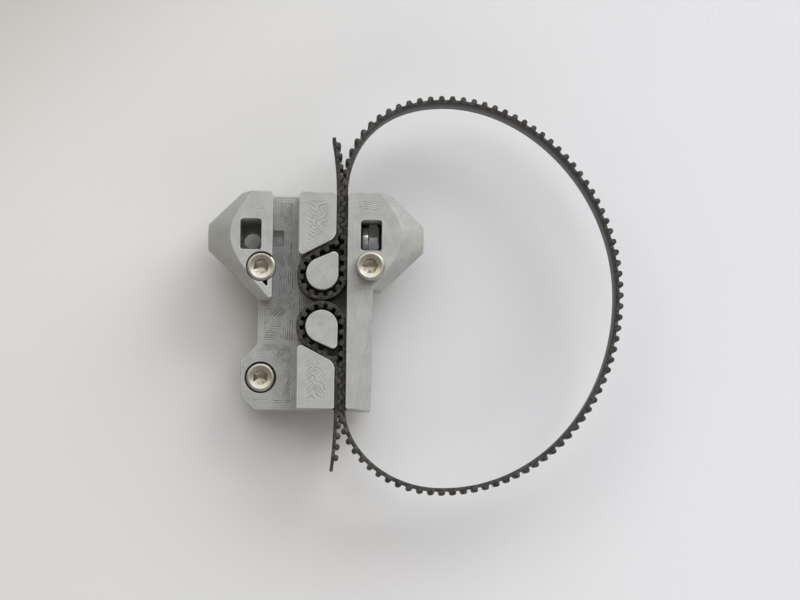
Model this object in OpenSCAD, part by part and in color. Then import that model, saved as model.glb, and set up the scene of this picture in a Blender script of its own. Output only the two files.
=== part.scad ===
// Timing belt on its clamp carriage.
// A toothed belt is closed into one free loop by two teardrop anchors that grip its doubled ends.
// The anchors belong to a one-piece carriage with two cone horns, bolted on by three cap screws.
// Origin: centre of the square screw pattern on the back face. X right, Y up the run, Z out.

/* [Carriage] */
// Thickness of the base plate
plate_t = 6; // [5:0.5:6]
// Full thickness, from the back face to the top of the raised features
body_t = 13; // [12.8:0.2:14]
// Length of the body along the belt run
body_len = 40; // [40:0.5:44]
// Height of the body centre above the centre of the screw pattern
body_mid_y = 4; // [4:0.5:6]
// Left edge of the base plate, measured from the centre
plate_left = 10.7; // [10:0.1:11]
// Right edge of the base plate and of the belt wall
plate_right = 10.6; // [10.4:0.1:11.5]
// How far the corner lug for the lower screw reaches past the left edge
corner_lug = 3; // [2.5:0.1:3.5]

/* [Horns] */
// Distance between the two horn tips
horn_span = 40; // [38:0.5:44]
// Half distance between the wide ends of the two cones
horn_root_x = 8; // [8:0.1:8.5]
// Radius of the wide end of a cone
horn_root_r = 14; // [13.5:0.1:14.5]
// Radius of the tip of a cone
horn_tip_r = 2.5; // [2.3:0.1:3]
// Height of the horn axis above the centre of the screw pattern
horn_y = 16; // [15.5:0.1:16.5]
// Lower end of the left horn, above the centre of the screw pattern
horn_low_left = 4.3; // [4:0.1:4.6]
// Lower end of the right horn, above the centre of the screw pattern
horn_low_right = 6.2; // [6:0.1:6.4]
// Width of a nut pocket along the horn axis
pocket_w = 3.9; // [3.7:0.1:4]
// Width of a nut pocket across the flats of the nut
pocket_flat = 5.7; // [5.6:0.05:5.9]
// Centre of the left nut pocket, left of the middle
pocket_left_x = 12; // [11.9:0.1:12.4]
// Centre of the right nut pocket, right of the middle
pocket_right_x = 10.2; // [10:0.1:10.6]
// Floor height of the nut pockets
pocket_floor = 3; // [2.6:0.1:3]

/* [Screws] */
// Spacing of the screw pattern in both directions
screw_pitch = 20; // [20:0.1:20.2]
// Diameter of the screw shanks
screw_d = 3; // [2.9:0.02:3]
// Diameter of the clearance holes
screw_hole_d = 3.2; // [3.2:0.05:3.3]
// Diameter of the screw heads
head_d = 5.4; // [5.2:0.1:5.5]
// Height of the screw heads
head_h = 3; // [2.9:0.1:3]
// Diameter of the counterbore round the lower left head
well_d = 5.9; // [5.8:0.1:6]
// Diameter of the snug well round the upper left head
snug_well_d = 5.6; // [5.5:0.05:5.7]
// Width across flats of the hexagon sockets
socket_flat = 2.5; // [2.4:0.05:2.5]
// Depth of the hexagon sockets
socket_depth = 1.5; // [1.3:0.1:1.8]
// How far each screw tip stands out behind the back face
screw_reach = 3; // [2.5:0.1:3.5]
// Seat height of the upper left screw head
seat_upper_left = 9.6; // [9.4:0.1:9.8]
// Seat height of the lower left screw head
seat_lower_left = 3; // [2.8:0.1:3.2]

/* [Belt clamp] */
// Left edge of the two guide blocks, left of the middle
block_left = 3.15; // [3:0.05:3.3]
// Right edge of the two guide blocks, right of the middle
block_right = 3.72; // [3.68:0.01:3.72]
// Face of the belt wall, right of the middle
wall_left = 5.85; // [5.85:0.01:5.9]
// Height on the block's right edge that its slanted side points to
block_corner_y = 15.56; // [15.52:0.02:15.6]
// Slope of the slanted side of a block, in degrees
block_slope = 27.5; // [27:0.5:28]
// Radius of the block corner that the belt bends over
block_bend_r = 2.2; // [2.1:0.05:2.3]
// Radius of the sharp block corner
block_tip_r = 0.7; // [0.6:0.05:0.8]
// Radius of the round end of an anchor post
post_r = 2.95; // [2.85:0.05:2.95]
// Radius of the narrow tip of an anchor post
post_tip_r = 0.8; // [0.6:0.05:0.8]
// Slope of the relief cut on the belt wall, in degrees from upright
relief_tilt = 23.3; // [22:0.1:24]
// Turn of the relief cut towards the belt, in degrees
relief_turn = 8.2; // [7.5:0.1:8.5]

/* [Belt] */
// Distance from tooth to tooth
belt_pitch = 2; // [2:0.01:2]
// Width of the belt
belt_w = 6; // [5.8:0.1:6.2]
// Gap between the belt's lower edge and the base plate
belt_lift = 0.1; // [0.1:0.05:0.3]
// Height of a tooth
tooth_h = 0.75; // [0.7:0.01:0.75]
// Width of a tooth at its root
tooth_root_w = 1; // [0.9:0.02:1]
// Width of a tooth at its tip
tooth_tip_w = 0.5; // [0.4:0.02:0.56]
// Thickness of the belt without its teeth
backing_t = 0.63; // [0.6:0.01:0.63]
// Thickness of the cord layer
cord_t = 0.3; // [0.25:0.01:0.3]
// Number of cords side by side across the belt
cord_count = 6; // [4:1:8]
// Radius of the belt's pitch line round an anchor post
anchor_pitch_r = 4.25; // [4.2:0.01:4.25]
// Height of the belt's turning centre round the upper post
anchor_y = 8.72; // [8.72:0.01:8.76]
// Reach of the free loop to the right
loop_reach = 56; // [50:0.1:60]
// Height of the top of the free loop
loop_top = 41.5; // [38:0.1:46]
// Depth of the bottom of the free loop, below the centre of the screw pattern
loop_bottom = 30.6; // [28:0.1:34]
// How far the upper free end stands out of the body
upper_end = 10.4; // [9:0.1:12]
// How far the lower free end stands out of the body
lower_end = 11.4; // [9:0.1:12]
// Radius that the upper free end curls with
upper_curl_r = 55; // [50:1:80]
// Radius that the lower free end curls with
lower_curl_r = 90; // [60:1:120]

/* [Lock nut] */
// Width across the flats of the lock nut
nut_flat = 5.5; // [5.4:0.02:5.5]
// Length of the hexagonal part of the nut
nut_hex_len = 2.1; // [2:0.1:2.2]
// Length of the round collar of the nut
nut_collar_len = 1.2; // [1:0.1:1.2]
// Diameter of the round collar
nut_collar_d = 4.9; // [4.7:0.1:5]

/* [Hidden] */

$fn = 64;
eps = 0.01;
over = 1;
print_grey = [0.62, 0.63, 0.60];
rubber_black = [0.08, 0.08, 0.08];
glass_white = [0.85, 0.85, 0.80];
steel = [0.72, 0.71, 0.68];
insert_white = [0.80, 0.80, 0.76];

// Outline of the body and places of the screws
body_top = body_mid_y + body_len / 2;
body_low = body_mid_y - body_len / 2;
screw_at = screw_pitch / 2;
horn_z = body_t / 2;
corner_cut = 2.5;
corner_run = 6.6;
corner_low = body_low + corner_cut;
corner_high = corner_low + corner_run;

// Height on the wall's outer edge where its long bevel reaches the top face
relief_y = 5.85;

// Inner ends of the two horn bores, past their pockets
left_bore_end = 6.05;
right_bore_end = 7;
push_out_d = 3.1;

// Slit in the tip of the left lug
slit_left = -9.75;
slit_right = -8.8;
slit_high = 7.6;
slit_bend = 7.15;
slit_low = 6.15;

// Anchor post: a round end and a narrow tip
post_at = [1.25, 8.85];
post_tip_at = [3.35, 12.1];

// Belt layers, measured from the pitch line; the tooth side counts as plus
tooth_root = 0.254;
tooth_tip = tooth_root + tooth_h;
belt_back = tooth_root - backing_t;
wall_gap = 0.03;
cord_share = 0.8;
belt_low_z = plate_t + belt_lift;

// Free loop: the points where it runs level or upright, and how stiffly it leaves them
loop_top_x = 24;
loop_right_y = 5.7;
loop_bottom_x = 23.3;
leave_stiff = 10.1;
top_stiff = [12.1, 15.9];
right_stiff = [19.9, 19.9];
bottom_stiff = [18.9, 10.1];
return_stiff = 7.2;

// Step lengths of the belt outline: long on the free loop, short round the anchors
loop_step = 2;
clamp_step = 0.7;
end_margin = 0.9;
near_by = 0.05;

// Numbers of points on the arcs and curves of the belt's route
bend_steps = 24;
turn_steps = 80;

// Lock nut: gap to the outer side of its pocket
nut_end_gap = 0.4;

// ---------------------------------------------------------------- helpers
function flip(p) = [p.x, 2 * body_mid_y - p.y];
function mirror_run(points) = [for (i = [len(points) - 1:-1:0]) flip(points[i])];
function turn(a) = [cos(a), sin(a)];
function arc(c, r, a0, a1, n) = [for (i = [0:n]) c + r * turn(a0 + (a1 - a0) * i / n)];
function bezier(a, b, c, d, n) =
    [for (i = [0:n]) let (t = i / n, u = 1 - t)
        u * u * u * a + 3 * u * u * t * b + 3 * u * t * t * c + t * t * t * d];

// ---------------------------------------------------------------- guide block outline
// A block is a quadrilateral; its slanted side faces the anchor post.
block_sharp = [-block_left, block_corner_y - (block_left + block_right) * tan(block_slope)];
sharp_half = (90 - block_slope) / 2;
bend_half = (90 + block_slope) / 2;
block_tip_c = [-block_left + block_tip_r, block_sharp.y + block_tip_r / tan(sharp_half)];
block_bend_c = [block_right - block_bend_r, block_corner_y + block_bend_r / tan(bend_half)];
block_outline = concat(
    [[-block_left, body_top]],
    arc(block_tip_c, block_tip_r, 180, 270 + block_slope, 8),
    arc(block_bend_c, block_bend_r, block_slope - 90, 0, 12),
    [[block_right, body_top]]
);

// ---------------------------------------------------------------- belt route on the pitch line
// The route starts at the upper free end, and the teeth are always on its left.
tail_x = block_right + wall_gap - belt_back;
strand_x = wall_left - wall_gap + belt_back;
bend_pitch_r = block_bend_r + wall_gap - belt_back;
anchor_c = [strand_x - anchor_pitch_r, anchor_y];
anchor_gap = anchor_c - block_bend_c;
slant_heading = atan2(anchor_gap.y, anchor_gap.x)
    - asin((bend_pitch_r + anchor_pitch_r) / norm(anchor_gap));

function free_end(r, out) = arc([tail_x - r, body_top], r, out / r * 180 / PI, 0, bend_steps);
function clamp_run(r, out) = concat(
    free_end(r, out),
    arc(block_bend_c, bend_pitch_r, 0, slant_heading + 90, bend_steps),
    arc(anchor_c, anchor_pitch_r, slant_heading + 270, 360, turn_steps)
);
loop_start = [strand_x, body_top];
loop_end = [strand_x, body_low];
top_at = [loop_top_x, loop_top];
right_at = [loop_reach, loop_right_y];
bottom_at = [loop_bottom_x, -loop_bottom];
free_loop = concat(
    bezier(loop_start, loop_start + [0, leave_stiff], top_at - [top_stiff[0], 0], top_at, turn_steps),
    bezier(top_at, top_at + [top_stiff[1], 0], right_at + [0, right_stiff[0]], right_at, turn_steps),
    bezier(right_at, right_at - [0, right_stiff[1]], bottom_at + [bottom_stiff[0], 0], bottom_at,
        turn_steps),
    bezier(bottom_at, bottom_at - [bottom_stiff[1], 0], loop_end - [0, return_stiff], loop_end,
        turn_steps)
);
upper_run = clamp_run(upper_curl_r, upper_end);
lower_run = clamp_run(lower_curl_r, lower_end);
route = concat(upper_run, free_loop, mirror_run(lower_run));

// Distance along the route at each of its points
function steps(p) = [for (i = [1:len(p) - 1]) norm(p[i] - p[i - 1])];
function run_length(p) = steps(p) * [for (i = [1:len(p) - 1]) 1];
function running_sum(v) = [for (i = 0, s = 0; i <= len(v); s = s + (i < len(v) ? v[i] : 0), i = i + 1) s];
along = running_sum(steps(route));
table_x = [for (i = [0:len(route) - 1]) [along[i] + i * 1e-9, route[i].x]];
table_y = [for (i = [0:len(route) - 1]) [along[i] + i * 1e-9, route[i].y]];
belt_len = along[len(along) - 1];

function spot(s) = [lookup(s, table_x), lookup(s, table_y)];
function left_of(v) = [-v.y, v.x];
function heading_at(s) =
    let (ahead = spot(min(belt_len, s + near_by)), behind = spot(max(0, s - near_by)))
        (ahead - behind) / norm(ahead - behind);
function beside(s, p) =
    let (t = heading_at(s))
        spot(s) + p.x * t + p.y * left_of(t);

// ---------------------------------------------------------------- tooth places
// Both clamped ends are in mesh with the strand beside them, half a pitch apart.
upper_exit = run_length(upper_run) + body_top - anchor_y;
lower_exit = run_length(lower_run) + body_top - anchor_y;
upper_bend_s = upper_end + body_top - block_bend_c.y;
lower_bend_s = lower_end + body_top - block_bend_c.y;
wrap_len = upper_exit - upper_bend_s - (body_top - block_bend_c.y);
mesh_turns = wrap_len / belt_pitch + 0.5;
mesh_shift = (mesh_turns - round(mesh_turns)) * belt_pitch / 2;

function clamp_teeth(bend_s, exit_s) =
    let (first = bend_s + mesh_shift - belt_pitch * floor((bend_s + mesh_shift - end_margin) / belt_pitch))
        [for (s = first; s <= exit_s; s = s + belt_pitch) s];
upper_teeth = clamp_teeth(upper_bend_s, upper_exit);
lower_teeth_rev = clamp_teeth(lower_bend_s, lower_exit);
lower_teeth = [for (i = [len(lower_teeth_rev) - 1:-1:0]) belt_len - lower_teeth_rev[i]];
last_upper = upper_teeth[len(upper_teeth) - 1];
loop_gap = lower_teeth[0] - last_upper;
loop_teeth_n = round(loop_gap / belt_pitch);
loop_teeth = [for (i = [1:loop_teeth_n - 1]) last_upper + loop_gap * i / loop_teeth_n];
teeth_at = concat(upper_teeth, loop_teeth, lower_teeth);

// ---------------------------------------------------------------- belt outlines
function spread(a, b, step) = let (n = ceil((b - a) / step)) [for (i = [0:n - 1]) a + (b - a) * i / n];
stations = concat(
    spread(0, upper_exit, clamp_step),
    spread(upper_exit, belt_len - lower_exit, loop_step),
    spread(belt_len - lower_exit, belt_len, clamp_step),
    [belt_len]
);
function edge(off) = [for (s = stations) beside(s, [0, off])];
function reversed(v) = [for (i = [len(v) - 1:-1:0]) v[i]];
function ribbon(low, high) = concat(edge(low), reversed(edge(high)));
tooth_mid = tooth_root + 0.6 * tooth_h;
tooth_mid_w = (tooth_root_w + tooth_tip_w) / 2 + 0.16;
tooth_steps = [
    [-tooth_root_w / 2, tooth_root],
    [-tooth_mid_w / 2, tooth_mid],
    [-tooth_tip_w / 2, tooth_tip],
    [tooth_tip_w / 2, tooth_tip],
    [tooth_mid_w / 2, tooth_mid],
    [tooth_root_w / 2, tooth_root]
];
tooth_edge = concat(
    [beside(0, [0, tooth_root])],
    [for (s = teeth_at, t = tooth_steps) beside(s, t)],
    [beside(belt_len, [0, tooth_root])]
);

// ---------------------------------------------------------------- carriage
module plate_outline() {
    polygon([
        [-plate_left, body_top],
        [-plate_left, corner_high + corner_lug],
        [-plate_left - corner_lug, corner_high],
        [-plate_left - corner_lug, corner_low],
        [-plate_left - corner_lug + corner_cut, body_low],
        [plate_right, body_low],
        [plate_right, body_top]
    ]);
}

module horn(low) {
    intersection() {
        translate([horn_root_x, horn_y, horn_z]) rotate([0, 90, 0])
            cylinder(h = horn_span / 2 - horn_root_x, r1 = horn_root_r, r2 = horn_tip_r);
        translate([0, low, 0])
            cube([horn_span, body_top - low, body_t]);
    }
}

// Sloping cut that gives the outer edge of the belt wall its long bevel
module wall_relief() {
    translate([plate_right, relief_y, body_t])
        rotate([0, 0, -relief_turn]) rotate([0, -relief_tilt, 0])
        translate([0, -body_len, -body_len / 2]) cube(1.5 * body_len);
}

module belt_wall() {
    difference() {
        translate([wall_left, body_low, 0])
            cube([plate_right - wall_left, body_len, body_t]);
        wall_relief();
    }
}

module guide_block() {
    linear_extrude(body_t) polygon(block_outline);
}

// Teardrop: two round ends and the straight flanks that join them
module anchor_post() {
    axis_dir = post_tip_at - post_at;
    lean = atan2(axis_dir.y, axis_dir.x);
    flank = acos((post_r - post_tip_r) / norm(axis_dir));
    translate([post_at.x, post_at.y, 0]) cylinder(h = body_t, r = post_r);
    translate([post_tip_at.x, post_tip_at.y, 0]) cylinder(h = body_t, r = post_tip_r);
    linear_extrude(body_t) polygon([
        post_at + post_r * turn(lean + flank),
        post_tip_at + post_tip_r * turn(lean + flank),
        post_tip_at + post_tip_r * turn(lean - flank),
        post_at + post_r * turn(lean - flank)
    ]);
}

module both_ways() {
    children();
    translate([0, 2 * body_mid_y, 0]) mirror([0, 1, 0]) children();
}

module nut_pocket(x) {
    translate([x - pocket_w / 2, horn_y - pocket_flat / 2, pocket_floor])
        cube([pocket_w, pocket_flat, body_t]);
    translate([x, horn_y, -over]) cylinder(h = body_t, d = push_out_d);
}

module screw_hole(x, y, seat, well) {
    translate([x, y, -over]) cylinder(h = body_t + 2 * over, d = screw_hole_d);
    translate([x, y, seat]) cylinder(h = body_t, d = well);
}

// Narrow slit that the upper left well leaves in the tip of the lug
module lug_slit() {
    translate([0, 0, plate_t]) linear_extrude(body_t) polygon([
        [slit_left, slit_high], [slit_right, slit_high], [slit_right, slit_low], [slit_left, slit_bend]
    ]);
}

module horn_bore(x_from, x_to) {
    translate([x_from, horn_y, horn_z]) rotate([0, 90, 0])
        cylinder(h = x_to - x_from, d = screw_hole_d);
}

module carriage_body() {
    color(print_grey) difference() {
        union() {
            linear_extrude(plate_t) plate_outline();
            belt_wall();
            horn(horn_low_right);
            mirror([1, 0, 0]) horn(horn_low_left);
            both_ways() guide_block();
            both_ways() anchor_post();
        }
        nut_pocket(-pocket_left_x);
        nut_pocket(pocket_right_x);
        horn_bore(-horn_span / 2 - over, -left_bore_end);
        horn_bore(right_bore_end, horn_span / 2 + over);
        screw_hole(-screw_at, screw_at, seat_upper_left, snug_well_d);
        screw_hole(screw_at, screw_at, body_t, well_d);
        screw_hole(-screw_at, -screw_at, seat_lower_left, well_d);
        lug_slit();
    }
}

// ---------------------------------------------------------------- belt
module belt_backing() {
    color(rubber_black) translate([0, 0, belt_low_z])
        linear_extrude(belt_w) polygon(ribbon(belt_back, -cord_t / 2));
}

module belt_teeth() {
    color(rubber_black) translate([0, 0, belt_low_z])
        linear_extrude(belt_w) polygon(concat(tooth_edge, reversed(edge(cord_t / 2))));
}

// Load-bearing cords side by side between the backing and the teeth
module belt_cords() {
    cord_pitch = belt_w / cord_count;
    cord_w = cord_share * cord_pitch;
    color(glass_white)
        for (i = [0:cord_count - 1])
            translate([0, 0, belt_low_z + (i + 0.5) * cord_pitch - cord_w / 2])
                linear_extrude(cord_w) polygon(ribbon(-cord_t / 2, cord_t / 2));
}

// ---------------------------------------------------------------- fasteners
// Socket cap screw: its thread, at its pitch diameter, stands out behind the back face
thread_d = 2.68;
tip_d = 2.08;
tip_h = 0.4;
edge_r = 0.25;

module cap_screw(x, y, seat) {
    color(steel) translate([x, y, 0]) difference() {
        union() {
            translate([0, 0, -screw_reach]) cylinder(h = tip_h, d1 = tip_d, d2 = thread_d);
            translate([0, 0, -screw_reach + tip_h]) cylinder(h = screw_reach - tip_h, d = thread_d);
            cylinder(h = seat + over, d = screw_d);
            translate([0, 0, seat]) cylinder(h = head_h - edge_r, d = head_d);
            translate([0, 0, seat + head_h - edge_r])
                cylinder(h = edge_r, d1 = head_d, d2 = head_d - 2 * edge_r);
        }
        translate([0, 0, seat + head_h - socket_depth])
            cylinder(h = head_h, d = socket_flat / cos(30), $fn = 6);
    }
}

module screw_upper_left() { cap_screw(-screw_at, screw_at, seat_upper_left); }
module screw_upper_right() { cap_screw(screw_at, screw_at, body_t); }
module screw_lower_left() { cap_screw(-screw_at, -screw_at, seat_lower_left); }

// The nut's outer end stands a little clear of its pocket, and its collar points to the middle.
nut_end_x = pocket_right_x + pocket_w / 2 - nut_end_gap;
nut_joint_x = nut_end_x - nut_hex_len;
collar_end_x = nut_joint_x - nut_collar_len;
nut_bore_d = 2.5;
insert_bore_d = 2.4;
insert_len = 0.9;
insert_step = 0.1;
insert_d = 3.9;

// Chamfer cone of the hexagon: how far it starts before the flats, and its two diameters
chamfer_back = 1.4;
chamfer_wide_d = nut_flat + 3.4;
chamfer_end_d = nut_flat + 0.2;

module along_horn(x) {
    translate([x, horn_y, horn_z]) rotate([0, 90, 0]) children();
}

module lock_nut_body() {
    color(steel) difference() {
        union() {
            intersection() {
                along_horn(nut_joint_x)
                    cylinder(h = nut_hex_len, d = nut_flat / cos(30), $fn = 6);
                along_horn(nut_joint_x - chamfer_back)
                    cylinder(h = nut_hex_len + chamfer_back, d1 = chamfer_wide_d, d2 = chamfer_end_d);
            }
            along_horn(collar_end_x) cylinder(h = nut_collar_len + insert_step, d = nut_collar_d);
        }
        along_horn(collar_end_x - over) cylinder(h = body_t, d = nut_bore_d);
        along_horn(collar_end_x - eps) cylinder(h = insert_len + eps, d = insert_d);
    }
}

module lock_nut_insert() {
    color(insert_white) difference() {
        along_horn(collar_end_x + insert_step) cylinder(h = insert_len - insert_step, d = insert_d);
        along_horn(collar_end_x - over) cylinder(h = body_t, d = insert_bore_d);
    }
}

carriage_body();
belt_backing();
belt_cords();
belt_teeth();
screw_upper_left();
screw_upper_right();
screw_lower_left();
lock_nut_body();
lock_nut_insert();
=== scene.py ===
import math

import bmesh
import bpy
import numpy as np
from mathutils import Matrix, Vector


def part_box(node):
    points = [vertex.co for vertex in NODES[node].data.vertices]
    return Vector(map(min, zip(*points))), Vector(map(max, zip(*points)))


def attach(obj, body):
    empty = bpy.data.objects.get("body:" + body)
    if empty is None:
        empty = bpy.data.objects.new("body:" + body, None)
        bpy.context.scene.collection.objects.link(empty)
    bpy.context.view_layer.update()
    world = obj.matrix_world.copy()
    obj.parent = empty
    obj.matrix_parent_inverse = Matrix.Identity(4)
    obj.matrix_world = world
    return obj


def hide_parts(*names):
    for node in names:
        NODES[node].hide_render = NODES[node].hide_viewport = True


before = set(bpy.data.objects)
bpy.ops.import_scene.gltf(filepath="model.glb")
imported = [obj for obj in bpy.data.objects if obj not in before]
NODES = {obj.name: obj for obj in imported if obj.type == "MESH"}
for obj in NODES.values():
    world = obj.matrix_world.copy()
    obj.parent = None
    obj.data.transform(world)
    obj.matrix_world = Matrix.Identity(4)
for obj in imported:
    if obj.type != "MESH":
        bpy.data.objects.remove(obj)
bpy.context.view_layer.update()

# Every length below is in millimetres of the real object; MM turns it into metres.
MM = 0.001


def limits(node):
    """Lowest and highest corner of a CAD node, in millimetres."""
    lo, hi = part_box(node)
    return np.array(lo) / MM, np.array(hi) / MM


# ------------------------------------------------------------------ mesh helpers
def make_object(name, verts, faces, material, angle=35):
    """A new object from points in millimetres, shaded smooth except across sharp edges."""
    mesh = bpy.data.meshes.new(name)
    mesh.from_pydata((np.asarray(verts, float) * MM).tolist(), [], faces)
    mesh.validate()
    return dress(name, mesh, material, angle)


def dress(name, mesh, material, angle=35):
    mesh.polygons.foreach_set("use_smooth", [True] * len(mesh.polygons))
    mesh.set_sharp_from_angle(angle=math.radians(angle))
    mesh.materials.clear()
    mesh.materials.append(material)
    obj = bpy.data.objects.new(name, mesh)
    bpy.context.scene.collection.objects.link(obj)
    return obj


def place(obj, body, slot, *nodes):
    """The piece rides a body and stands for CAD nodes, which it hides; slot is not used."""
    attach(obj, body)
    if nodes:
        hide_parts(*nodes)
    return obj


def loft(rings, closed_path=False):
    """Quads between rings of equal length; each end is closed by a fan unless the path is closed."""
    count = len(rings[0])
    verts = [p for ring in rings for p in ring]
    faces = []
    last = len(rings) if closed_path else len(rings) - 1
    for i in range(last):
        a = i * count
        b = ((i + 1) % len(rings)) * count
        for k in range(count):
            n = (k + 1) % count
            faces.append((a + k, a + n, b + n, b + k))
    if not closed_path:
        first = len(verts)
        verts.append(np.mean(rings[0], axis=0))
        verts.append(np.mean(rings[-1], axis=0))
        top = (len(rings) - 1) * count
        for k in range(count):
            n = (k + 1) % count
            faces.append((n, k, first))
            faces.append((top + k, top + n, first + 1))
    return verts, faces


def outward(mesh):
    """Turns all faces outward."""
    bm = bmesh.new()
    bm.from_mesh(mesh)
    bmesh.ops.recalc_face_normals(bm, faces=bm.faces)
    bm.to_mesh(mesh)
    bm.free()


# ------------------------------------------------------------------ node helpers
class Graph:
    """A short way to write a material's nodes."""

    def __init__(self, name):
        self.material = bpy.data.materials.new(name)
        self.material.use_nodes = True
        self.tree = self.material.node_tree
        self.shader = self.tree.nodes["Principled BSDF"]

    def add(self, kind, **values):
        node = self.tree.nodes.new(kind)
        for key, value in values.items():
            setattr(node, key, value)
        return node

    def feed(self, socket, value):
        if isinstance(value, bpy.types.NodeSocket):
            self.tree.links.new(value, socket)
        else:
            socket.default_value = value

    def math(self, kind, a, b=0.0, c=0.0):
        node = self.add("ShaderNodeMath", operation=kind)
        self.feed(node.inputs[0], a)
        self.feed(node.inputs[1], b)
        self.feed(node.inputs[2], c)
        return node.outputs[0]

    def blend(self, factor, a, b):
        """Number a at factor 0 and b at factor 1."""
        node = self.add("ShaderNodeMix", data_type="FLOAT")
        self.feed(node.inputs[0], factor)
        self.feed(node.inputs[2], a)
        self.feed(node.inputs[3], b)
        return node.outputs[0]

    def colour(self, factor, a, b, kind="MIX"):
        node = self.add("ShaderNodeMix", data_type="RGBA", blend_type=kind)
        self.feed(node.inputs[0], factor)
        self.feed(node.inputs[6], a)
        self.feed(node.inputs[7], b)
        return node.outputs[2]

    def place(self):
        return self.add("ShaderNodeTexCoord").outputs["Object"]

    def split(self, vector):
        node = self.add("ShaderNodeSeparateXYZ")
        self.feed(node.inputs[0], vector)
        return node.outputs

    def noise(self, size_mm, detail=3.0, rough=0.5, stretch=(1, 1, 1), vector=None):
        """Noise of that grain size, 0 to 1 about a half."""
        mapping = self.add("ShaderNodeMapping")
        self.feed(mapping.inputs["Vector"], vector if vector is not None else self.place())
        scale = 1 / (size_mm * MM)
        mapping.inputs["Scale"].default_value = [scale * s for s in stretch]
        node = self.add("ShaderNodeTexNoise")
        self.feed(node.inputs["Vector"], mapping.outputs[0])
        node.inputs["Scale"].default_value = 1.0
        node.inputs["Detail"].default_value = detail
        node.inputs["Roughness"].default_value = rough
        return node.outputs["Fac"]

    def attribute(self, name):
        return self.add("ShaderNodeAttribute", attribute_name=name).outputs["Fac"]

    def ramp(self, value, low, high):
        """0 below low, 1 above high, smooth between."""
        node = self.add("ShaderNodeMapRange", interpolation_type="SMOOTHSTEP")
        self.feed(node.inputs["Value"], value)
        node.inputs["From Min"].default_value = low
        node.inputs["From Max"].default_value = high
        return node.outputs["Result"]

    def ridges(self, phase_mm, pitch_mm):
        """Round-topped beads along a phase in millimetres, 0 in the grooves and 1 on top."""
        angle = self.math("MULTIPLY", phase_mm, math.pi / pitch_mm)
        wave = self.math("SINE", angle)
        return self.math("ABSOLUTE", wave)

    def bump(self, height, depth_mm, normal=None):
        node = self.add("ShaderNodeBump")
        node.inputs["Strength"].default_value = 1.0
        node.inputs["Distance"].default_value = depth_mm * MM
        self.feed(node.inputs["Height"], height)
        if normal is not None:
            self.feed(node.inputs["Normal"], normal)
        return node.outputs[0]

    def facing(self):
        """The true normal in the row frame, split."""
        return self.split(self.add("ShaderNodeTexCoord").outputs["Normal"])


# ------------------------------------------------------------------ materials
BEAD = 0.42              # spacing of the printed beads on level faces
LAYER = 0.28             # spacing of the layer lines that can be seen on the sides


def printed_plastic():
    """Grey print: beads along the outline and the infill on flat faces, layers on the others."""
    g = Graph("printed_plastic")
    flat = g.ramp(g.math("ABSOLUTE", g.facing()[2]), 0.9, 0.99)
    up = g.math("DIVIDE", g.split(g.place())[2], MM)
    low = g.math("MULTIPLY", flat, g.math("SUBTRACT", 1.0, g.ramp(up, 7.0, 7.4)))
    edge = g.attribute("edge_mm")
    drift = g.math("MULTIPLY", g.math("SUBTRACT", g.noise(1.1, 2.0), 0.5), 0.30)
    shell = g.ridges(g.math("ADD", edge, g.math("MULTIPLY", drift, 0.25)), BEAD)
    infill = g.ridges(g.math("ADD", g.attribute("fill_mm"), drift), BEAD)
    inside = g.ramp(g.math("SUBTRACT", edge, g.attribute("shell_mm")), -0.03, 0.03)
    inside = g.math("MULTIPLY", inside, g.ramp(g.attribute("whole"), 0.1, 0.9))
    beads = g.blend(inside, g.blend(0.55, 1.0, shell), infill)
    layers = g.ridges(g.math("ADD", up, g.math("MULTIPLY", g.noise(6.0, 2.0), 0.05)), LAYER)
    groove_shading = g.blend(flat, g.blend(0.55, 1.0, layers), beads)
    rows = g.blend(flat, layers, beads)
    grain = g.noise(0.12, 2.0)
    blotch = g.ramp(g.noise(2.6, 4.0, 0.6), 0.35, 0.65)
    starved = g.ramp(g.noise(1.5, 3.0, 0.6), 0.36, 0.62)
    # Painted shade: gaps between beads, starved spots and pits are coloured near black, most strongly on
    # the sunk plate, besides being bumped in.
    gaps = g.math("SUBTRACT", 1.0, g.ramp(g.blend(inside, shell, infill), 0.05, 0.72))
    gaps = g.math("MULTIPLY", gaps, g.math("MULTIPLY", g.blend(inside, 0.42, 1.0), starved))
    shallow = g.math("MULTIPLY", g.math("MULTIPLY", flat, inside), 0.26)
    gaps = g.math("MULTIPLY", gaps, g.blend(low, shallow, 0.95))
    middle = g.math("MULTIPLY", g.ramp(edge, 1.9, 2.4), g.math("SUBTRACT", flat, low))
    pocks = g.math("MULTIPLY", middle, g.ramp(g.noise(0.55, 2.0), 0.58, 0.70))
    gaps = g.math("MAXIMUM", gaps, g.math("MULTIPLY", pocks, 0.30))
    # Painted highlight: a pale line along the edges of level faces whose side falls away steeply.
    rim = g.math("SUBTRACT", 1.0, g.ramp(g.attribute("rim_mm"), 0.06, 0.34))
    rim = g.math("MULTIPLY", rim, flat)
    base = g.colour(blotch, (0.350, 0.353, 0.333, 1), (0.405, 0.408, 0.386, 1))
    # Painted shade: the grooves between beads and between layer lines are coloured a fifth darker.
    base = g.colour(groove_shading, g.colour(1.0, base, (0.80, 0.80, 0.80, 1), "MULTIPLY"), base)
    # Near black in the gaps and pits: painted shade.
    base = g.colour(gaps, base, (0.070, 0.073, 0.076, 1))
    base = g.colour(g.math("MULTIPLY", rim, 0.5), base, (0.60, 0.60, 0.57, 1))
    g.feed(g.shader.inputs["Base Color"], base)
    sides = g.blend(grain, 0.22, 0.32)
    g.feed(g.shader.inputs["Roughness"], g.blend(flat, sides, g.blend(grain, 0.42, 0.58)))
    g.shader.inputs["Specular IOR Level"].default_value = 0.75
    soft = g.bump(grain, 0.004)
    fine = g.bump(rows, 0.030, soft)
    g.feed(g.shader.inputs["Normal"], g.bump(g.math("MULTIPLY", gaps, -1.0), 0.06, fine))
    return g.material


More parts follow.
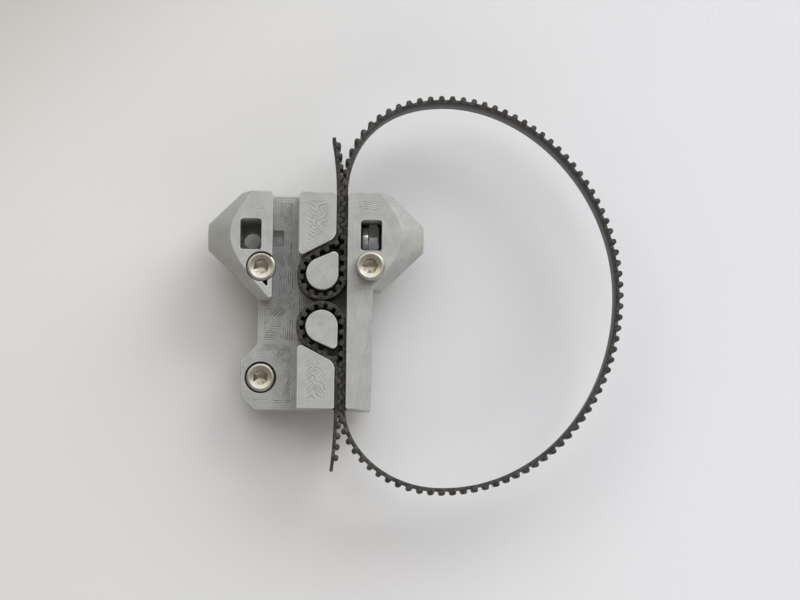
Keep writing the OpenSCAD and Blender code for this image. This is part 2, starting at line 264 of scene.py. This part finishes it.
def belt_rubber():
    """Black moulded rubber; the cut edge is rougher, mottled brown and grey."""
    g = Graph("belt_rubber")
    cut = g.ramp(g.math("ABSOLUTE", g.facing()[2]), 0.6, 0.9)
    mottle = g.ramp(g.noise(0.75, 4.0, 0.65), 0.42, 0.62)
    fleck = g.ramp(g.noise(0.22, 2.0), 0.56, 0.70)
    dark = g.colour(mottle, (0.020, 0.019, 0.018, 1), (0.072, 0.066, 0.058, 1))
    dark = g.colour(g.math("MULTIPLY", fleck, 0.6), dark, (0.125, 0.114, 0.100, 1))
    moulded = g.colour(g.noise(1.4, 3.0), (0.022, 0.021, 0.020, 1), (0.052, 0.048, 0.044, 1))
    g.feed(g.shader.inputs["Base Color"], g.colour(cut, moulded, dark))
    grain = g.noise(0.10, 3.0, 0.7)
    g.shader.inputs["Specular IOR Level"].default_value = 0.3
    g.feed(g.shader.inputs["Roughness"], g.blend(g.math("MULTIPLY", cut, grain), 0.50, 0.78))
    weave = g.noise(0.16, 2.0, 0.5, (1, 1, 0.35))
    g.feed(g.shader.inputs["Normal"], g.bump(g.blend(cut, weave, grain), 0.03))
    return g.material


def glass_cord():
    """Twisted glass yarn, dipped dark, with pale fibres here and there."""
    g = Graph("glass_cord")
    fibre = g.noise(0.05, 3.0, 0.6, (1, 1, 1))
    patch = g.noise(0.9, 2.0)
    dipped = g.colour(patch, (0.050, 0.040, 0.030, 1), (0.160, 0.140, 0.110, 1))
    g.feed(g.shader.inputs["Base Color"], g.colour(g.ramp(fibre, 0.5, 0.7), dipped, (0.42, 0.39, 0.33, 1)))
    g.feed(g.shader.inputs["Roughness"], g.blend(fibre, 0.45, 0.75))
    g.feed(g.shader.inputs["Normal"], g.bump(fibre, 0.02))
    return g.material


def screw_steel():
    """Bright stainless with fine turning marks and a warm cast, coloured darker and warmer inside the
    socket.
    """
    g = Graph("screw_steel")
    g.shader.inputs["Metallic"].default_value = 1.0
    marks = g.noise(0.05, 2.0, 0.5)
    smear = g.noise(1.3, 4.0, 0.6)
    pits = g.ramp(g.noise(0.28, 2.0), 0.60, 0.72)
    base = g.colour(smear, (0.33, 0.315, 0.27, 1), (0.44, 0.425, 0.375, 1))
    base = g.colour(g.math("MULTIPLY", pits, 0.35), base, (0.32, 0.30, 0.26, 1))
    socket_colour = g.colour(smear, (0.13, 0.11, 0.08, 1), (0.50, 0.45, 0.36, 1))
    # Inside the socket the colour turns darker and warmer.
    base = g.colour(g.attribute("socket_darkening"), base, socket_colour)
    g.feed(g.shader.inputs["Base Color"], base)
    g.feed(g.shader.inputs["Roughness"], g.blend(smear, 0.26, 0.38))
    g.feed(g.shader.inputs["Normal"], g.bump(g.math("ADD", marks, pits), 0.004))
    return g.material


def nut_steel():
    """Zinc-bright nut: cooler and duller than the screws."""
    g = Graph("nut_steel")
    g.shader.inputs["Metallic"].default_value = 1.0
    cloud = g.noise(0.7, 4.0, 0.6)
    g.feed(g.shader.inputs["Base Color"], g.colour(cloud, (0.56, 0.57, 0.58, 1), (0.80, 0.80, 0.79, 1)))
    g.feed(g.shader.inputs["Roughness"], g.blend(cloud, 0.14, 0.24))
    g.feed(g.shader.inputs["Normal"], g.bump(g.noise(0.06, 2.0), 0.004))
    return g.material


def nylon():
    """Cloudy white nylon ring."""
    g = Graph("nut_insert")
    cloud = g.noise(0.5, 3.0)
    g.feed(g.shader.inputs["Base Color"], g.colour(cloud, (0.66, 0.66, 0.61, 1), (0.82, 0.82, 0.78, 1)))
    g.feed(g.shader.inputs["Roughness"], g.blend(cloud, 0.28, 0.42))
    g.shader.inputs["Subsurface Weight"].default_value = 0.25
    g.shader.inputs["Subsurface Radius"].default_value = (0.0006, 0.0006, 0.0005)
    g.feed(g.shader.inputs["Normal"], g.bump(g.noise(0.2, 2.0), 0.006))
    return g.material


def paper():
    """Plain pale paper, faintly uneven, with painted shade: darker and warmer towards the left, and darker
    towards the top-left corner.
    """
    g = Graph("paper")
    fibre = g.noise(0.7, 3.0, 0.6, (1, 0.6, 1))
    cloud = g.noise(30.0, 3.0)
    place = g.split(g.place())
    # Painted shade: the light falling off towards the left, coloured in as a warm darkening.
    left_shade = g.ramp(place[0], 110 * MM, -110 * MM)
    base = g.colour(cloud, (0.745, 0.745, 0.775, 1), (0.77, 0.77, 0.80, 1))
    base = g.colour(left_shade, base, g.colour(1.0, base, (0.86, 0.855, 0.78, 1), "MULTIPLY"))
    # Painted shade towards the top-left corner.
    shade = g.math("SUBTRACT", place[1], g.math("MULTIPLY", place[0], 0.75))
    shade = g.ramp(shade, 60 * MM, 150 * MM)
    base = g.colour(shade, base, g.colour(1.0, base, (0.62, 0.59, 0.55, 1), "MULTIPLY"))
    g.feed(g.shader.inputs["Base Color"], base)
    g.feed(g.shader.inputs["Roughness"], g.blend(fibre, 0.7, 0.85))
    g.feed(g.shader.inputs["Normal"], g.bump(fibre, 0.03))
    return g.material


PLASTIC = printed_plastic()
RUBBER = belt_rubber()
CORD = glass_cord()
STEEL = screw_steel()
NUT = nut_steel()
NYLON = nylon()


# ------------------------------------------------------------------ carriage
EDGE_ROUND = 0.11        # rounding of the printed edges
CORNER_ROUND = 0.40      # rounding of the print's upright corners, seen from above
GRID = 0.3               # spacing of the points that carry the bead pattern
FLAT = 0.9995            # how level a face is to count as flat


def upright_corners(bm):
    """Upright edges where two broad walls meet sharply."""
    chosen = []
    for e in bm.edges:
        if len(e.link_faces) != 2:
            continue
        way = (e.verts[1].co - e.verts[0].co).normalized()
        walls = all(abs(f.normal.z) < 0.01 for f in e.link_faces)
        if abs(way.z) < 0.999 or not walls:
            continue
        turn = math.degrees(e.link_faces[0].normal.angle(e.link_faces[1].normal))
        spans = []
        for f in e.link_faces:
            across = Vector((-f.normal.y, f.normal.x, 0.0))
            reach = [v.co.dot(across) for v in f.verts]
            spans.append((max(reach) - min(reach)) / MM)
        if turn > 40 and min(spans) > 1.3:
            chosen.append(e)
    return chosen


def bevelled_copy():
    """The CAD body with the nozzle's rounding on upright corners and all sharp edges slightly worn."""
    mesh = NODES["carriage_body"].data.copy()
    bm = bmesh.new()
    bm.from_mesh(mesh)
    bmesh.ops.remove_doubles(bm, verts=bm.verts, dist=0.002 * MM)
    bmesh.ops.dissolve_limit(bm, angle_limit=math.radians(0.5), verts=bm.verts, edges=bm.edges)
    bmesh.ops.bevel(
        bm, geom=upright_corners(bm), offset=CORNER_ROUND * MM, offset_type="OFFSET", segments=4,
        profile=0.5, affect="EDGES", clamp_overlap=False)
    bm.to_mesh(mesh)
    bm.free()
    obj = bpy.data.objects.new("carriage_source", mesh)
    bpy.context.scene.collection.objects.link(obj)
    mod = obj.modifiers.new("edges", "BEVEL")
    mod.width = EDGE_ROUND * MM
    mod.segments = 2
    mod.limit_method = "ANGLE"
    mod.angle_limit = math.radians(32)
    mod.use_clamp_overlap = True
    mod.miter_outer = "MITER_ARC"
    graph = bpy.context.evaluated_depsgraph_get()
    result = bpy.data.meshes.new_from_object(obj.evaluated_get(graph), depsgraph=graph)
    bpy.data.objects.remove(obj)
    return result


def is_flat(face):
    return abs(face.normal.z) > FLAT


def cut_flats(bm, axis, low, high, step):
    """Cuts the level faces by planes across one axis, so that they carry a fine grid."""
    faces = [f for f in bm.faces if is_flat(f)]
    normal = Vector((1, 0, 0)) if axis == 0 else Vector((0, 1, 0))
    at = low + step / 2
    while at < high:
        level = at * MM
        hit = []
        rest = []
        for f in faces:
            values = [v.co[axis] for v in f.verts]
            if min(values) < level - 1e-7 and max(values) > level + 1e-7:
                hit.append(f)
            else:
                rest.append(f)
        if hit:
            edges = {e for f in hit for e in f.edges}
            verts = {v for f in hit for v in f.verts}
            made = bmesh.ops.bisect_plane(
                bm, geom=hit + list(edges) + list(verts), dist=1e-7,
                plane_co=normal * level, plane_no=normal)
            kept = [g for g in made["geom"] if isinstance(g, bmesh.types.BMFace) and is_flat(g)]
            faces = rest + kept
        at += step


def outline_distance(points, edges):
    """Distance of each point to the nearest of the edges, in the plane, at most 30 mm."""
    best = np.full(len(points), 30.0)
    for edge in edges:
        a, b = [np.array(v.co[:2]) / MM for v in edge.verts]
        d = b - a
        t = np.clip(((points - a) @ d) / max(d @ d, 1e-12), 0, 1)
        gap = np.linalg.norm(points - (a + t[:, None] * d), axis=1)
        best = np.minimum(best, gap)
    return best


SCREW_SPOTS = [sum(limits(n)) / 2 for n in ("screw_upper_left", "screw_lower_left")]


def plate_fill(x, y):
    """Infill of the plate's top layer: runs, chevrons and rings, each with the number of its patch."""
    for spot in SCREW_SPOTS:
        away = math.hypot(x - spot[0], y - spot[1])
        if away < 4.6:
            return away, 1
    if y < -14.0:
        return y, 2
    if x > -3.4:
        return x, 3
    if y > 18.0 + 0.4 * x:
        return (x + y) / math.sqrt(2), 4
    if y > 5.4:
        return max(abs(x + 6.3), abs(y - 10.4) - 3.0), 5
    if y > 1.2:
        return 0.66 * (x + abs(y - 3.4)), 6
    if y > -3.4 and x < -5.8 + 0.5 * y:
        return y, 7
    if y > -6.0 - 0.5 * x:
        return x, 8
    return (x - y) / math.sqrt(2) + 0.2 * math.sin(2.3 * y), 9


def block_fill(x, y):
    """Nested chevrons that point along the strand, a little bent."""
    way = 1 if y > 0 else -1
    bend = 0.12 * math.sin(2.1 * y) * math.cos(1.7 * x)
    return 0.50 * (0.9 * abs(x + 0.4 + 2 * bend) - way * y) + bend


def fill_at(x, y, z, gap):
    """The infill's phase, the width of the shell around it, in millimetres, and the patch's number."""
    if z < 7.0:
        phase, patch = plate_fill(x, y)
        return phase, 1.28, patch
    if abs(x) > 5.0 and y > 12.5:
        return y + 0.15 * abs(x), 1.70, 10
    if abs(x) > 5.0 or abs(y - 2.5) < 9.0:
        return gap, 30.0, 11
    return block_fill(x, y), 1.70, 12


def steep_beyond(edge, inside):
    """Whether the surface beyond an edge of a level face falls away steeply."""
    face = next((f for f in edge.link_faces if f not in inside), None)
    for _ in range(3):
        if face is None:
            return True
        if abs(face.normal.z) < 0.3:
            return True
        across = [e for e in face.edges if not set(e.verts) & set(edge.verts)]
        if len(face.verts) != 4 or not across:
            return False
        edge = across[0]
        face = next((f for f in edge.link_faces if f is not face), None)
    return face is not None and abs(face.normal.z) < 0.3


def pattern_attributes(bm):
    """Writes the distances to the outline and to its steep edges, along which a highlight is painted, and
    the phase of the infill on each level face.
    """
    edge_layer = bm.verts.layers.float.new("edge_mm")
    rim_layer = bm.verts.layers.float.new("rim_mm")
    fill_layer = bm.verts.layers.float.new("fill_mm")
    shell_layer = bm.verts.layers.float.new("shell_mm")
    whole_layer = bm.verts.layers.float.new("whole")
    levels = {}
    for f in bm.faces:
        if is_flat(f):
            levels.setdefault(round(f.verts[0].co.z / MM, 2), []).append(f)
    for level, faces in levels.items():
        chosen = set(faces)
        verts = list({v for f in faces for v in f.verts})
        rim = [e for e in {e for f in faces for e in f.edges}
               if sum(1 for f in e.link_faces if f in chosen) == 1]
        steep = [e for e in rim if steep_beyond(e, chosen)]
        points = np.array([v.co[:2] for v in verts]) / MM
        gaps = outline_distance(points, rim)
        # Distance to the steep edges, where the painted highlight goes.
        highlight_distances = outline_distance(points, steep)
        for v, p, gap, highlight_distance in zip(verts, points, gaps, highlight_distances):
            v[edge_layer] = gap
            v[rim_layer] = highlight_distance
            v[fill_layer], v[shell_layer], v[whole_layer] = fill_at(p[0], p[1], level, gap)
        patches = {v: round(v[whole_layer]) for v in verts}
        mixed = {v for f in faces for v in f.verts if len({patches[w] for w in f.verts}) > 1}
        for v in verts:
            v[whole_layer] = 0.0 if v in mixed else 1.0


def carriage_print():
    mesh = bevelled_copy()
    bm = bmesh.new()
    bm.from_mesh(mesh)
    lo, hi = limits("carriage_body")
    cut_flats(bm, 0, lo[0], hi[0], GRID)
    cut_flats(bm, 1, lo[1], hi[1], GRID)
    pattern_attributes(bm)
    bm.to_mesh(mesh)
    bm.free()
    obj = dress("carriage_print", mesh, PLASTIC, 30)
    return place(obj, "carriage", "printed_plastic", "carriage_body")


# ------------------------------------------------------------------ belt
PITCH_TO_BACK = 0.376    # from the pitch line to the back of the belt
PITCH_TO_ROOT = 0.254    # from the pitch line to the roots of the teeth
RIM = 0.06               # rounding of the belt's cut edges
TIP_LAND = 0.5           # length of the flat at the tip of each CAD tooth
TOOTH = [(-0.66, 0.0), (-0.595, 0.02), (-0.560, 0.07), (-0.535, 0.16), (-0.515, 0.28), (-0.495, 0.40),
         (-0.455, 0.51), (-0.380, 0.61), (-0.275, 0.69), (-0.140, 0.737), (0.0, 0.75)]


def bottom_loop(node):
    """The outline of a node's lowest level face, in order, in millimetres."""
    mesh = NODES[node].data
    bm = bmesh.new()
    bm.from_mesh(mesh)
    bmesh.ops.remove_doubles(bm, verts=bm.verts, dist=0.002 * MM)
    low = min(v.co.z for v in bm.verts)
    faces = {f for f in bm.faces if all(v.co.z < low + 0.01 * MM for v in f.verts)}
    nexts = {}
    for f in faces:
        for loop in f.loops:
            if sum(1 for g in loop.edge.link_faces if g in faces) == 1:
                nexts[loop.vert.index] = loop.link_loop_next.vert.index
    bm.verts.ensure_lookup_table()
    start = next(iter(nexts))
    order = [start]
    while nexts[order[-1]] != start:
        order.append(nexts[order[-1]])
    points = np.array([bm.verts[i].co[:2] for i in order]) / MM
    bm.free()
    return points


def belt_sides():
    """The back edge and the tooth-side edge of the backing, from the upper free end on."""
    loop = bottom_loop("belt_backing")
    length = np.linalg.norm(np.roll(loop, -1, axis=0) - loop, axis=1)
    caps = sorted(np.argsort(length)[:2])
    loop = np.roll(loop, -(caps[0] + 1), axis=0)
    half = len(loop) // 2
    one = loop[:half]
    two = loop[half:][::-1]
    if one[0][1] < one[-1][1]:
        one, two = one[::-1], two[::-1]
    ahead = one[1] - one[0]
    across = two[0] - one[0]
    left = ahead[0] * across[1] - ahead[1] * across[0] > 0
    return (one, two) if left else (two, one)


def spline(points, samples):
    """Smooth curve through the points at the given lengths along their chords."""
    seg = np.linalg.norm(np.diff(points, axis=0), axis=1)
    knots = np.concatenate([[0], np.cumsum(seg)])
    slope = np.zeros_like(points)
    for i in range(1, len(points) - 1):
        before = (points[i] - points[i - 1]) / seg[i - 1]
        after = (points[i + 1] - points[i]) / seg[i]
        slope[i] = (before * seg[i] + after * seg[i - 1]) / (seg[i - 1] + seg[i])
    slope[0] = 2 * (points[1] - points[0]) / seg[0] - slope[1]
    slope[-1] = 2 * (points[-1] - points[-2]) / seg[-1] - slope[-2]
    index = np.clip(np.searchsorted(knots, samples, side="right") - 1, 0, len(seg) - 1)
    h = seg[index][:, None]
    t = ((samples - knots[index])[:, None]) / h
    a, b = points[index], points[index + 1]
    m, n = slope[index] * h, slope[index + 1] * h
    return ((2 * t**3 - 3 * t**2 + 1) * a + (t**3 - 2 * t**2 + t) * m
            + (3 * t**2 - 2 * t**3) * b + (t**3 - t**2) * n)


class Route:
    """The belt's pitch line, with its length and its heading."""

    def __init__(self):
        back, inner = belt_sides()
        across = inner - back
        across /= np.linalg.norm(across, axis=1)[:, None]
        rough = back + across * PITCH_TO_BACK
        chord = np.concatenate([[0], np.cumsum(np.linalg.norm(np.diff(rough, axis=0), axis=1))])
        fine = np.linspace(0, chord[-1], 6000)
        self.points = spline(rough, fine)
        seg = np.linalg.norm(np.diff(self.points, axis=0), axis=1)
        self.s = np.concatenate([[0], np.cumsum(seg)])
        self.length = self.s[-1]

    def spot(self, s):
        s = np.asarray(s, float)
        return np.stack([np.interp(s, self.s, self.points[:, k]) for k in (0, 1)], axis=-1)

    def heading(self, s):
        s = np.asarray(s, float)
        step = self.spot(np.minimum(s + 0.05, self.length)) - self.spot(np.maximum(s - 0.05, 0))
        return step / np.linalg.norm(step, axis=-1, keepdims=True)

    def beside(self, s, along, off):
        """A point that far along the heading at s, and that far to its left."""
        t = self.heading(s)
        left = np.stack([-t[..., 1], t[..., 0]], axis=-1)
        return self.spot(s) + t * np.asarray(along)[..., None] + left * np.asarray(off)[..., None]

    def nearest(self, points):
        """Length along the route nearest to each point."""
        return np.array([self.s[np.argmin(((self.points - p) ** 2).sum(1))] for p in points])


def tooth_places(route):
    """Length along the route of each tooth of the CAD belt."""
    outline = bottom_loop("belt_teeth")
    count = len(outline)
    centres = []
    for i in range(count):
        tip = np.linalg.norm(outline[(i + 1) % count] - outline[i])
        if abs(tip - TIP_LAND) < 0.02:
            centres.append((outline[i - 2] + outline[(i + 3) % count]) / 2)
    return np.sort(route.nearest(centres))


def tooth_side(route, teeth):
    """Stations along the toothed side: (length, shift along, height, normal along, normal up)."""
    rows = [(0.02, 0.0, 0.0, 0.0, 1.0)]
    half = np.array(TOOTH)
    shape = np.vstack([half, half[-2::-1] * [-1, 1]])
    tangent = np.gradient(shape, axis=0)
    tangent /= np.linalg.norm(tangent, axis=1)[:, None]
    for s in teeth:
        for p, t in zip(shape, tangent):
            rows.append((s, p[0], p[1], -t[1], t[0]))
    rows.append((route.length - 0.02, 0.0, 0.0, 0.0, 1.0))
    rows.sort(key=lambda r: r[0] + r[1])
    return fill_between(rows, 0.5)


def fill_between(rows, step):
    """Adds plain stations wherever two neighbours are far apart."""
    full = [rows[0]]
    for row in rows[1:]:
        a = full[-1][0] + full[-1][1]
        b = row[0] + row[1]
        for i in range(1, int((b - a) / step) + 1):
            at = a + (b - a) * i / (int((b - a) / step) + 1)
            full.append((at, 0.0, 0.0, 0.0, 1.0))
        full.append(row)
    return np.array(full)


def belt_moulding(route):
    """Backing and teeth moulded as one, with rounded teeth and slightly rounded cut edges."""
    lo, hi = limits("belt_teeth")
    rows = tooth_side(route, tooth_places(route))
    s, along, up, n_along, n_up = rows.T
    at = np.clip(s + along, 0.02, route.length - 0.02)
    root = PITCH_TO_ROOT
    side = route.beside(s, along, root + up)
    side_in = route.beside(s, along - RIM * n_along, root + up - RIM * n_up)
    back = route.beside(at, np.zeros_like(at), np.full_like(at, -PITCH_TO_BACK))
    back_in = route.beside(at, np.zeros_like(at), np.full_like(at, -PITCH_TO_BACK + RIM))
    rings = []
    for b, bi, q, qi in zip(back, back_in, side, side_in):
        rings.append([
            (*b, lo[2] + RIM), (*b, hi[2] - RIM), (*bi, hi[2]), (*qi, hi[2]),
            (*q, hi[2] - RIM), (*q, lo[2] + RIM), (*qi, lo[2]), (*bi, lo[2])])
    verts, faces = loft(rings)
    obj = make_object("belt_moulding", verts, faces, RUBBER, 50)
    outward(obj.data)
    return place(obj, "belt", "belt_rubber", "belt_backing", "belt_teeth")


def belt_yarns(route, count=6):
    """The cords inside the belt, whose ends show where the belt is cut."""
    lo, hi = limits("belt_teeth")
    width = hi[2] - lo[2]
    turns = np.arange(10) * 2 * math.pi / 10
    stations = np.linspace(0.0, route.length, 420)
    verts = []
    faces = []
    for i in range(count):
        z = lo[2] + (i + 0.5) * width / count
        rings = []
        for s in stations:
            off = 0.13 * np.cos(turns)
            xy = route.beside(np.full(10, s), np.zeros(10), off)
            rings.append(np.column_stack([xy, z + 0.21 * np.sin(turns)]))
        v, f = loft(rings)
        start = len(verts)
        verts += v
        faces += [tuple(k + start for k in face) for face in f]
    obj = make_object("belt_yarns", verts, faces, CORD, 50)
    outward(obj.data)
    return place(obj, "belt", "glass_cord", "belt_cords")


# ------------------------------------------------------------------ screws and nut
AROUND = 96
DISH = 2.02              # radius of the dished mouth of a screw's socket
HEAD_HEIGHT = 3.0        # height of a screw's head


def angles():
    """The directions of the points of a ring."""
    return np.arange(AROUND) * 2 * math.pi / AROUND


def circle(z, radius):
    """A ring of points at height z; radius is a number or one per point."""
    a = angles()
    r = np.broadcast_to(radius, a.shape)
    return np.column_stack([r * np.cos(a), r * np.sin(a), np.broadcast_to(z, a.shape)])


def hexagon(flat, turn=0.0):
    """Radius of a hexagon in each direction."""
    a = (angles() + turn + math.pi / 6) % (math.pi / 3) - math.pi / 6
    return flat / 2 / np.cos(a)


def thread(z, outer, inner, pitch=0.5):
    """Radius of a helical thread at height z in each direction."""
    phase = (z / pitch - angles() / (2 * math.pi)) % 1.0
    rise = 1 - np.abs(phase * 2 - 1)
    shape = np.clip((rise - 0.12) / 0.72, 0, 1)
    return inner + (outer - inner) * shape


def socket_darkening(mesh, centre, top):
    """Marks the inside of the socket, below its mouth, which is coloured darker and warmer than the rest.
    """
    layer = mesh.attributes.new("socket_darkening", "FLOAT", "POINT")
    for v in mesh.vertices:
        x, y, z = [c / MM for c in v.co]
        away = math.hypot(x - centre[0], y - centre[1])
        deep = (top - 0.16 - z) / 0.15
        layer.data[v.index].value = min(max(deep, 0.0), 1.0) if away < 1.6 and z > top - 2.1 else 0.0


def cap_screw(name, body, turn):
    """Socket cap screw: threaded tip, plain shank, knurled head and hexagon socket."""
    lo, hi = limits(name)
    centre = (lo + hi) / 2
    head = (hi[0] - lo[0]) / 2
    top = hi[2]
    seat = top - HEAD_HEIGHT
    knurl = head - 0.05 - 0.04 * np.cos(angles() * 32)
    socket = hexagon(2.5, math.radians(turn))
    rings = [circle(lo[2], 0.95)]
    for z in np.arange(lo[2] + 0.02, -0.02, 0.05):
        limit = 1.0 + (z - lo[2]) * 1.1
        rings.append(circle(z, np.minimum(thread(z, 1.49, 1.2), limit)))
    rings += [circle(0.0, 1.47), circle(seat, 1.49)]
    under = [(0.0, head - 0.3), (0.12, head - 0.12), (0.30, head - 0.10), (0.40, knurl)]
    rings += [circle(seat + up, radius) for up, radius in under]
    outer = [(0.62, knurl), (0.52, head - 0.08), (0.40, head - 0.04), (0.22, head - 0.05),
             (0.09, head - 0.13), (0.02, head - 0.27), (0.0, head - 0.45)]
    mouth = [(0.0, DISH + 0.08), (0.015, DISH + 0.02), (0.05, DISH - 0.05), (0.10, 1.75),
             (0.15, 1.58), (0.19, np.maximum(socket, 1.42))]
    inner = [(0.22, socket + 0.03), (0.28, socket), (1.48, socket), (1.5, socket - 0.04),
             (1.72, 0.9), (1.95, 0.2)]
    rings += [circle(top - down, radius) for down, radius in outer + mouth + inner]
    moved = [r + [centre[0], centre[1], 0] for r in rings]
    verts, faces = loft(moved)
    obj = make_object(name + "_steel", verts, faces, STEEL, 32)
    outward(obj.data)
    socket_darkening(obj.data, centre, top)
    return place(obj, body, "screw_steel", name)


def along_x(rings, x_sign, x0, y0, z0):
    """Turns rings made about Z so that they run along X from x0."""
    return [np.column_stack([x0 + x_sign * r[:, 2], y0 + r[:, 0], z0 + r[:, 1]]) for r in rings]


def lock_nut():
    """Hexagon with chamfered corners, round collar, nylon seat and an M3 thread."""
    lo, hi = limits("lock_nut_body")
    centre = (lo + hi) / 2
    length = hi[0] - lo[0]
    collar = 1.2
    flats = hexagon(min(hi[1] - lo[1], hi[2] - lo[2]))
    rings = [circle(0.0, 1.62), circle(0.0, 2.45)]
    for depth in (0.0, 0.12, 0.24, 0.36):
        rings.append(circle(depth + 0.02, np.minimum(flats, 2.62 + depth * 1.7)))
    rings.append(circle(0.55, flats))
    rings.append(circle(length - collar - 0.45, flats))
    for depth in (0.36, 0.24, 0.12, 0.0):
        rings.append(circle(length - collar - 0.02 - depth, np.minimum(flats, 2.66 + depth * 1.7)))
    rings += [circle(length - collar, 2.50), circle(length - 0.40, 2.44)]
    rings += [circle(length - 0.22, 2.40), circle(length - 0.08, 2.28), circle(length, 2.12)]
    rings += [circle(length, 1.98), circle(length - 0.05, 1.95), circle(length - 0.9, 1.95)]
    rings += [circle(length - 0.9, 1.50)]
    for z in np.arange(length - 0.95, 0.2, -0.05):
        rings.append(circle(z, thread(z, 1.5, 1.25)))
    rings.append(circle(0.12, 1.52))
    placed = along_x(rings, -1, hi[0], centre[1], centre[2])
    verts, faces = loft(placed, closed_path=True)
    obj = make_object("lock_nut_steel", verts, faces, NUT, 28)
    outward(obj.data)
    return place(obj, "lock_nut", "screw_steel", "lock_nut_body")


def nylon_ring():
    """The nut's insert, with rounded rims."""
    lo, hi = limits("lock_nut_insert")
    centre = (lo + hi) / 2
    length = hi[0] - lo[0]
    rings = [circle(0.0, 1.94), circle(0.0, 1.30), circle(0.08, 1.22)]
    rings += [circle(length - 0.12, 1.22), circle(length - 0.03, 1.30), circle(length, 1.42)]
    rings += [circle(length, 1.80), circle(length - 0.04, 1.90), circle(length - 0.12, 1.94)]
    placed = along_x(rings, -1, hi[0], centre[1], centre[2])
    verts, faces = loft(placed, closed_path=True)
    obj = make_object("lock_nut_nylon", verts, faces, NYLON, 40)
    outward(obj.data)
    return place(obj, "lock_nut", "nut_insert", "lock_nut_insert")


# ------------------------------------------------------------------ stage, light and camera
def floor():
    """A large pale sheet under the screw tips."""
    z = limits("screw_upper_left")[0][2]
    half = 1500.0
    verts = [(-half, -half, z), (half, -half, z), (half, half, z), (-half, half, z)]
    obj = make_object("floor", verts, [(0, 1, 2, 3)], paper())
    return obj


SPREAD = 42              # degrees across each patch of light
SUNS = [                 # name, azimuth and elevation in degrees, strength, colour
    ("window_right", 45, 26, 1.95, (1.02, 1.02, 0.97)),
    ("window_ahead", 90, 30, 0.55, (0.88, 0.96, 1.20)),
    ("window_top", 60, 62, 0.55, (0.94, 0.97, 1.12)),
    ("window_left", 125, 50, 0.56, (1.04, 1.02, 0.90)),
    ("wall_right", 315, 28, 0.40, (0.92, 0.98, 1.12)),
    ("wall_near", 270, 28, 0.19, (1.10, 1.0, 0.90)),
]


def soft_sun(name, azimuth, elevation, strength, colour):
    """A broad patch of bright sky in one direction."""
    data = bpy.data.lights.new(name, "SUN")
    data.angle = math.radians(SPREAD)
    data.energy = strength
    data.color = colour
    obj = bpy.data.objects.new(name, data)
    bpy.context.scene.collection.objects.link(obj)
    a = math.radians(azimuth)
    e = math.radians(elevation)
    way = Vector((math.cos(e) * math.cos(a), math.cos(e) * math.sin(a), math.sin(e)))
    obj.rotation_euler = way.to_track_quat("Z", "Y").to_euler()
    return obj


def lights():
    """A wide soft window from the right round to the top, and pale walls on the other sides."""
    for sun in SUNS:
        soft_sun(*sun)
    bpy.context.scene.world = studio()


def studio():
    """A dim, slightly warm room, brighter in reflections than as fill light."""
    world = bpy.data.worlds.new("studio")
    world.use_nodes = True
    tree = world.node_tree
    back = tree.nodes["Background"]
    back.inputs["Color"].default_value = (0.94, 0.88, 0.80, 1)
    path = tree.nodes.new("ShaderNodeLightPath")
    strength = tree.nodes.new("ShaderNodeMapRange")
    strength.inputs["To Min"].default_value = 0.32
    strength.inputs["To Max"].default_value = 0.42
    tree.links.new(path.outputs["Is Glossy Ray"], strength.inputs["Value"])
    tree.links.new(strength.outputs["Result"], back.inputs["Strength"])
    return world


CAMERA_AT = (1.9, -36.3, 412.9)
CAMERA_TURNS = [(-0.81, "Z"), (1.95, "Y"), (-5.77, "X")]


def camera():
    """Almost straight above the object, leaning a few degrees."""
    data = bpy.data.cameras.new("camera")
    data.sensor_width = 36.0
    data.lens = 98.5
    data.clip_start = 0.01
    data.clip_end = 20.0
    obj = bpy.data.objects.new("camera", data)
    bpy.context.scene.collection.objects.link(obj)
    tilt = Matrix.Identity(3)
    for degrees, axis in CAMERA_TURNS:
        tilt = tilt @ Matrix.Rotation(math.radians(degrees), 3, axis)
    at = Vector(CAMERA_AT) * MM
    obj.matrix_world = Matrix.Translation(at) @ tilt.inverted().to_4x4()
    bpy.context.scene.camera = obj


def main():
    carriage_print()
    route = Route()
    belt_moulding(route)
    belt_yarns(route)
    cap_screw("screw_upper_left", "upper_left_screw", 12)
    cap_screw("screw_upper_right", "upper_right_screw", 30)
    cap_screw("screw_lower_left", "lower_left_screw", 0)
    lock_nut()
    nylon_ring()
    floor()
    lights()
    camera()
    bpy.context.scene.view_settings.view_transform = "Standard"


main()
